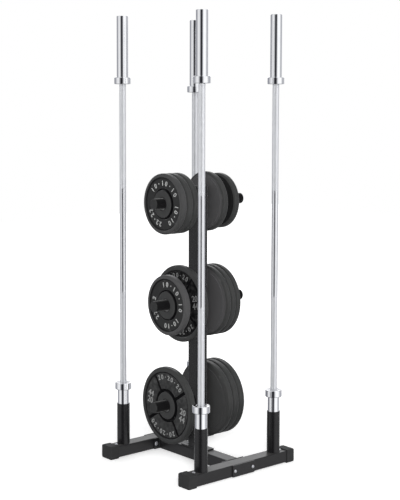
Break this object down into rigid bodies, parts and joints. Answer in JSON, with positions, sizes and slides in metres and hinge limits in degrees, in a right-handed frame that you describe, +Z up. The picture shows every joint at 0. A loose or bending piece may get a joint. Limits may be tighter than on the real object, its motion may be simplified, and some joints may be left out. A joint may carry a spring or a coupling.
{
  "type": "barbell and weight plate storage rack",
  "caption": "Free-standing steel rack: an H base with upright barbell sockets and a post with plate pegs, shown holding its barbells and cast weight plates.",
  "frame": {"origin": "on the floor under the middle of the crossbar, the centre of the box's bottom face", "axes": "+Z up along the barbells, X along the base rails and the plate pegs, Y along the crossbar"},
  "size_m": [0.6, 0.6092, 1.9313],
  "materials": {
    "powder_coat": "black fine-textured powder coat, satin",
    "cap_plastic": "black moulded plastic, fine grain",
    "bolt_steel": "bright zinc-plated bolts",
    "chrome": "polished hard chrome sleeves and collars",
    "shaft_chrome": "satin chrome shaft with fine knurling",
    "cast_iron": "black hammertone enamel with pale painted numbers"
  },
  "bodies": {
    "rack": {"front_rail": "powder_coat", "rear_rail": "powder_coat", "crossbar": "powder_coat", "front_clamp_plate": "powder_coat", "rear_clamp_plate": "powder_coat", "post": "powder_coat", "low_peg": "powder_coat", "middle_peg": "powder_coat", "top_peg": "powder_coat", "front_left_socket": "powder_coat", "front_right_socket": "powder_coat", "rear_left_socket": "powder_coat", "rear_right_socket": "powder_coat", "front_left_foot_cap": "cap_plastic", "front_right_foot_cap": "cap_plastic", "rear_left_foot_cap": "cap_plastic", "rear_right_foot_cap": "cap_plastic", "post_cap": "cap_plastic", "low_left_peg_cap": "cap_plastic", "low_right_peg_cap": "cap_plastic", "middle_left_peg_cap": "cap_plastic", "middle_right_peg_cap": "cap_plastic", "top_left_peg_cap": "cap_plastic", "top_right_peg_cap": "cap_plastic", "front_left_rail_bolt": "bolt_steel", "front_right_rail_bolt": "bolt_steel", "rear_left_rail_bolt": "bolt_steel", "rear_right_rail_bolt": "bolt_steel", "front_left_socket_bolt": "bolt_steel", "front_right_socket_bolt": "bolt_steel", "rear_left_socket_bolt": "bolt_steel", "rear_right_socket_bolt": "bolt_steel", "front_post_bolt": "bolt_steel", "rear_post_bolt": "bolt_steel"},
    "front_left_bar": {"front_left_bar_shaft": "shaft_chrome"},
    "front_left_bar_upper_sleeve_turning": {"front_left_bar_upper_sleeve": "chrome"},
    "front_left_bar_lower_sleeve_turning": {"front_left_bar_lower_sleeve": "chrome"},
    "front_right_bar": {"front_right_bar_shaft": "shaft_chrome"},
    "front_right_bar_upper_sleeve_turning": {"front_right_bar_upper_sleeve": "chrome"},
    "front_right_bar_lower_sleeve_turning": {"front_right_bar_lower_sleeve": "chrome"},
    "rear_left_bar": {"rear_left_bar_shaft": "shaft_chrome"},
    "rear_left_bar_upper_sleeve_turning": {"rear_left_bar_upper_sleeve": "chrome"},
    "rear_left_bar_lower_sleeve_turning": {"rear_left_bar_lower_sleeve": "chrome"},
    "rear_right_bar": {"rear_right_bar_shaft": "shaft_chrome"},
    "rear_right_bar_upper_sleeve_turning": {"rear_right_bar_upper_sleeve": "chrome"},
    "rear_right_bar_lower_sleeve_turning": {"rear_right_bar_lower_sleeve": "chrome"},
    "top_left_plate_1_body": {"top_left_plate_1": "cast_iron"},
    "top_left_plate_2_body": {"top_left_plate_2": "cast_iron"},
    "top_left_plate_3_body": {"top_left_plate_3": "cast_iron"},
    "top_right_plate_1_body": {"top_right_plate_1": "cast_iron"},
    "top_right_plate_2_body": {"top_right_plate_2": "cast_iron"},
    "middle_left_plate_1_body": {"middle_left_plate_1": "cast_iron"},
    "middle_left_plate_2_body": {"middle_left_plate_2": "cast_iron"},
    "middle_right_plate_1_body": {"middle_right_plate_1": "cast_iron"},
    "middle_right_plate_2_body": {"middle_right_plate_2": "cast_iron"},
    "middle_right_plate_3_body": {"middle_right_plate_3": "cast_iron"},
    "low_left_plate_1_body": {"low_left_plate_1": "cast_iron"},
    "low_right_plate_1_body": {"low_right_plate_1": "cast_iron"},
    "low_right_plate_2_body": {"low_right_plate_2": "cast_iron"},
    "low_right_plate_3_body": {"low_right_plate_3": "cast_iron"}
  },
  "joints": [
    {"name": "front_left_bar_lift", "type": "slide", "parent": "rack", "child": "front_left_bar", "axis": [0, 0, 1], "range_m": [0, 0.205]},
    {"name": "front_left_bar_upper_spin", "type": "hinge", "parent": "front_left_bar", "child": "front_left_bar_upper_sleeve_turning", "pos_m": [-0.207, -0.262, 1.64], "axis": [0, 0, 1], "continuous": true},
    {"name": "front_left_bar_lower_spin", "type": "hinge", "parent": "front_left_bar", "child": "front_left_bar_lower_sleeve_turning", "pos_m": [-0.207, -0.262, 0.3], "axis": [0, 0, 1], "continuous": true},
    {"name": "front_right_bar_lift", "type": "slide", "parent": "rack", "child": "front_right_bar", "axis": [0, 0, 1], "range_m": [0, 0.205]},
    {"name": "front_right_bar_upper_spin", "type": "hinge", "parent": "front_right_bar", "child": "front_right_bar_upper_sleeve_turning", "pos_m": [0.207, -0.262, 1.64], "axis": [0, 0, 1], "continuous": true},
    {"name": "front_right_bar_lower_spin", "type": "hinge", "parent": "front_right_bar", "child": "front_right_bar_lower_sleeve_turning", "pos_m": [0.207, -0.262, 0.3], "axis": [0, 0, 1], "continuous": true},
    {"name": "rear_left_bar_lift", "type": "slide", "parent": "rack", "child": "rear_left_bar", "axis": [0, 0, 1], "range_m": [0, 0.205]},
    {"name": "rear_left_bar_upper_spin", "type": "hinge", "parent": "rear_left_bar", "child": "rear_left_bar_upper_sleeve_turning", "pos_m": [-0.207, 0.262, 1.64], "axis": [0, 0, 1], "continuous": true},
    {"name": "rear_left_bar_lower_spin", "type": "hinge", "parent": "rear_left_bar", "child": "rear_left_bar_lower_sleeve_turning", "pos_m": [-0.207, 0.262, 0.3], "axis": [0, 0, 1], "continuous": true},
    {"name": "rear_right_bar_lift", "type": "slide", "parent": "rack", "child": "rear_right_bar", "axis": [0, 0, 1], "range_m": [0, 0.205]},
    {"name": "rear_right_bar_upper_spin", "type": "hinge", "parent": "rear_right_bar", "child": "rear_right_bar_upper_sleeve_turning", "pos_m": [0.207, 0.262, 1.64], "axis": [0, 0, 1], "continuous": true},
    {"name": "rear_right_bar_lower_spin", "type": "hinge", "parent": "rear_right_bar", "child": "rear_right_bar_lower_sleeve_turning", "pos_m": [0.207, 0.262, 0.3], "axis": [0, 0, 1], "continuous": true},
    {"name": "top_left_plate_1_slide", "type": "slide", "parent": "rack", "child": "top_left_plate_1_body", "axis": [-1, 0, 0], "range_m": [-0.069, 0.152]},
    {"name": "top_left_plate_2_slide", "type": "slide", "parent": "top_left_plate_1_body", "child": "top_left_plate_2_body", "axis": [-1, 0, 0], "range_m": [0, 0.119]},
    {"name": "top_left_plate_3_slide", "type": "slide", "parent": "top_left_plate_2_body", "child": "top_left_plate_3_body", "axis": [-1, 0, 0], "range_m": [0, 0.085]},
    {"name": "top_right_plate_1_slide", "type": "slide", "parent": "rack", "child": "top_right_plate_1_body", "axis": [1, 0, 0], "range_m": [0, 0.222]},
    {"name": "top_right_plate_2_slide", "type": "slide", "parent": "top_right_plate_1_body", "child": "top_right_plate_2_body", "axis": [1, 0, 0], "range_m": [-0.039, 0.149]},
    {"name": "middle_left_plate_1_slide", "type": "slide", "parent": "rack", "child": "middle_left_plate_1_body", "axis": [-1, 0, 0], "range_m": [-0.047, 0.174]},
    {"name": "middle_left_plate_2_slide", "type": "slide", "parent": "middle_left_plate_1_body", "child": "middle_left_plate_2_body", "axis": [-1, 0, 0], "range_m": [-0.034, 0.106]},
    {"name": "middle_right_plate_1_slide", "type": "slide", "parent": "rack", "child": "middle_right_plate_1_body", "axis": [1, 0, 0], "range_m": [0, 0.222]},
    {"name": "middle_right_plate_2_slide", "type": "slide", "parent": "middle_right_plate_1_body", "child": "middle_right_plate_2_body", "axis": [1, 0, 0], "range_m": [0, 0.193]},
    {"name": "middle_right_plate_3_slide", "type": "slide", "parent": "middle_right_plate_2_body", "child": "middle_right_plate_3_body", "axis": [1, 0, 0], "range_m": [0, 0.165]},
    {"name": "low_left_plate_1_slide", "type": "slide", "parent": "rack", "child": "low_left_plate_1_body", "axis": [-1, 0, 0], "range_m": [-0.115, 0.106]},
    {"name": "low_right_plate_1_slide", "type": "slide", "parent": "rack", "child": "low_right_plate_1_body", "axis": [1, 0, 0], "range_m": [0, 0.222]},
    {"name": "low_right_plate_2_slide", "type": "slide", "parent": "low_right_plate_1_body", "child": "low_right_plate_2_body", "axis": [1, 0, 0], "range_m": [0, 0.188]},
    {"name": "low_right_plate_3_slide", "type": "slide", "parent": "low_right_plate_2_body", "child": "low_right_plate_3_body", "axis": [1, 0, 0], "range_m": [0, 0.155]}
  ]
}
